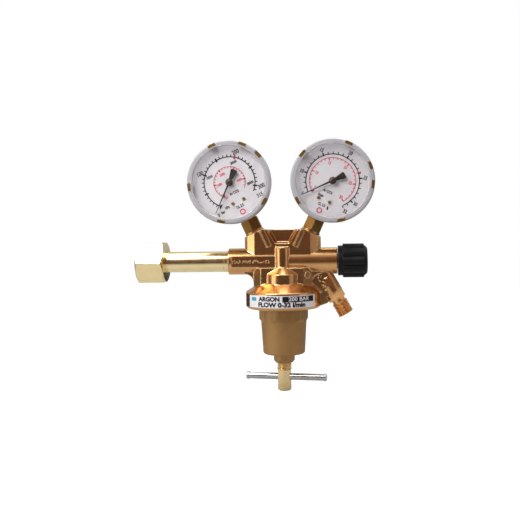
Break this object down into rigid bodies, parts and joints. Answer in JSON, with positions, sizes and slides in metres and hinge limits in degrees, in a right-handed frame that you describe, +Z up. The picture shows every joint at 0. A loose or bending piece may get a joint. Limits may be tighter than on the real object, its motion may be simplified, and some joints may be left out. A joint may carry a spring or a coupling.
{
  "type": "gas regulator",
  "caption": "Two-gauge gas regulator: inlet nut on a stem, forged body with diaphragm and spring housing, handle screw, outlet valve knob and slanted hose outlet.",
  "frame": {"origin": "centre of the inlet nut's mouth, at the start of its thread", "axes": "+X along the inlet axis into the regulator, +Z up towards the gauges, dials facing -Y"},
  "size_m": [0.1921, 0.0671, 0.2013],
  "materials": {
    "forged_brass": "hot-forged, tumbled, slightly grainy reddish brass",
    "turned_brass": "bright turned brass",
    "housing_brass": "blasted matt brass",
    "gauge_brass": "dull brass",
    "chrome_steel": "plated steel bar",
    "spring_steel": "drawn spring steel",
    "steel": "turned steel",
    "black_plastic": "fine-grained moulded black",
    "clear_plastic": "clear polycarbonate, frosted rim",
    "dial_white": "white dial lacquer",
    "pointer_black": "matt black",
    "elastomer": "black seal rubber",
    "seal_plastic": "white seat plastic",
    "sinter_bronze": "porous sintered bronze",
    "label_film": "printed film"
  },
  "bodies": {
    "regulator": {"body": "forged_brass", "label": "label_film", "inlet_stem": "turned_brass", "inlet_o_ring": "elastomer", "inlet_filter": "sinter_bronze", "filter_clip": "spring_steel", "valve_nozzle": "turned_brass", "nozzle_o_ring": "elastomer", "poppet_spring": "spring_steel", "diaphragm": "elastomer", "slip_washer": "seal_plastic", "bonnet": "housing_brass", "range_spring": "spring_steel", "valve_gland": "turned_brass", "gland_o_ring": "elastomer", "outlet_nipple": "turned_brass", "relief_housing": "turned_brass", "relief_spring": "spring_steel", "relief_adjuster": "turned_brass", "relief_cap": "turned_brass", "blowout_plugs": "elastomer", "dial_screws": "turned_brass", "gauge_seals": "seal_plastic", "high_case": "gauge_brass", "high_window": "clear_plastic", "high_dial": "dial_white", "high_stem": "gauge_brass", "high_bourdon_tube": "turned_brass", "high_movement_frame": "turned_brass", "low_case": "gauge_brass", "low_window": "clear_plastic", "low_dial": "dial_white", "low_stem": "gauge_brass", "low_bourdon_tube": "turned_brass", "low_movement_frame": "turned_brass"},
    "nut_ring": {"nut_clip_ring": "spring_steel"},
    "inlet_nut": {"inlet_nut": "turned_brass"},
    "spring_follower": {"spring_button": "steel", "thrust_ball": "steel"},
    "adjusting_screw": {"adjusting_screw": "turned_brass"},
    "handle_bar": {"handle_bar": "chrome_steel"},
    "reducing_valve": {"diaphragm_plate": "turned_brass", "diaphragm_washer": "turned_brass", "push_pin": "steel", "valve_poppet": "turned_brass", "poppet_seat": "seal_plastic"},
    "outlet_seat": {"seat_pad": "seal_plastic"},
    "outlet_knob": {"valve_stem": "turned_brass", "knob": "black_plastic", "knob_screw": "steel", "knob_cap": "black_plastic"},
    "relief_disc": {"relief_disc": "turned_brass"},
    "high_pointer": {"high_pointer": "pointer_black", "high_pointer_arbor": "steel"},
    "high_sector": {"high_sector": "turned_brass"},
    "high_link": {"high_link": "steel"},
    "low_pointer": {"low_pointer": "pointer_black", "low_pointer_arbor": "steel"},
    "low_sector": {"low_sector": "turned_brass"},
    "low_link": {"low_link": "steel"}
  },
  "joints": [
    {"name": "nut_slide", "type": "slide", "parent": "regulator", "child": "nut_ring", "axis": [1, 0, 0], "range_m": [0, 0.045]},
    {"name": "nut_spin", "type": "hinge", "parent": "nut_ring", "child": "inlet_nut", "pos_m": [0, 0, 0], "axis": [1, 0, 0], "continuous": true},
    {"name": "screw_lift", "type": "slide", "parent": "regulator", "child": "spring_follower", "axis": [0, 0, 1], "range_m": [0, 0.00583], "deforming": ["range_spring"]},
    {"name": "screw_turn", "type": "hinge", "parent": "spring_follower", "child": "adjusting_screw", "pos_m": [0.118, 0, -0.088], "axis": [0, 0, 1], "range_deg": [0, 1202]},
    {"name": "handle_slide", "type": "slide", "parent": "adjusting_screw", "child": "handle_bar", "axis": [0.9877, -0.1564, 0], "range_m": [-0.0265, 0.0235]},
    {"name": "valve_lift", "type": "slide", "parent": "regulator", "child": "reducing_valve", "axis": [0, 0, 1], "range_m": [0, 0.001], "stiffness_N_per_m": 2000, "springref_m": -0.002, "deforming": ["diaphragm", "poppet_spring"]},
    {"name": "seat_slide", "type": "slide", "parent": "regulator", "child": "outlet_seat", "axis": [1, 0, 0], "range_m": [0, 0.0015]},
    {"name": "knob_turn", "type": "hinge", "parent": "outlet_seat", "child": "outlet_knob", "pos_m": [0.1624, 0, 0], "axis": [1, 0, 0], "range_deg": [0, 541]},
    {"name": "relief_lift", "type": "slide", "parent": "regulator", "child": "relief_disc", "axis": [0, 1, 0], "range_m": [0, 0.0015], "stiffness_N_per_m": 3000, "springref_m": -0.002, "deforming": ["relief_spring"]},
    {"name": "high_pointer_turn", "type": "hinge", "parent": "regulator", "child": "high_pointer", "pos_m": [0.0771, -0.016, 0.0636], "axis": [0, 1, 0], "range_deg": [0, 266], "stiffness_Nm_per_rad": 0.0004, "deforming": ["high_bourdon_tube"]},
    {"name": "high_sector_turn", "type": "hinge", "parent": "regulator", "child": "high_sector", "pos_m": [0.08114, -0.0055, 0.05473], "axis": [0, 1, 0], "range_deg": [-22.7, 0]},
    {"name": "high_link_turn", "type": "hinge", "parent": "high_sector", "child": "high_link", "pos_m": [0.07329, -0.005, 0.05362], "axis": [0, 1, 0], "range_deg": [0, 22.7]},
    {"name": "low_pointer_turn", "type": "hinge", "parent": "regulator", "child": "low_pointer", "pos_m": [0.1589, -0.016, 0.0636], "axis": [0, 1, 0], "range_deg": [0, 271], "stiffness_Nm_per_rad": 0.0004, "deforming": ["low_bourdon_tube"]},
    {"name": "low_sector_turn", "type": "hinge", "parent": "regulator", "child": "low_sector", "pos_m": [0.15486, -0.0055, 0.05473], "axis": [0, 1, 0], "range_deg": [-22.7, 0]},
    {"name": "low_link_turn", "type": "hinge", "parent": "low_sector", "child": "low_link", "pos_m": [0.14887, -0.005, 0.05993], "axis": [0, 1, 0], "range_deg": [0, 22.7]}
  ],
  "couplings": [
    {"joint": "screw_turn", "follows": "screw_lift", "rad_per_m": 3590.4},
    {"joint": "knob_turn", "follows": "seat_slide", "rad_per_m": 6283.2},
    {"joint": "high_sector_turn", "follows": "high_pointer_turn", "ratio": -0.083333},
    {"joint": "high_link_turn", "follows": "high_pointer_turn", "ratio": 0.083333},
    {"joint": "low_sector_turn", "follows": "low_pointer_turn", "ratio": -0.083333},
    {"joint": "low_link_turn", "follows": "low_pointer_turn", "ratio": 0.083333}
  ]
}
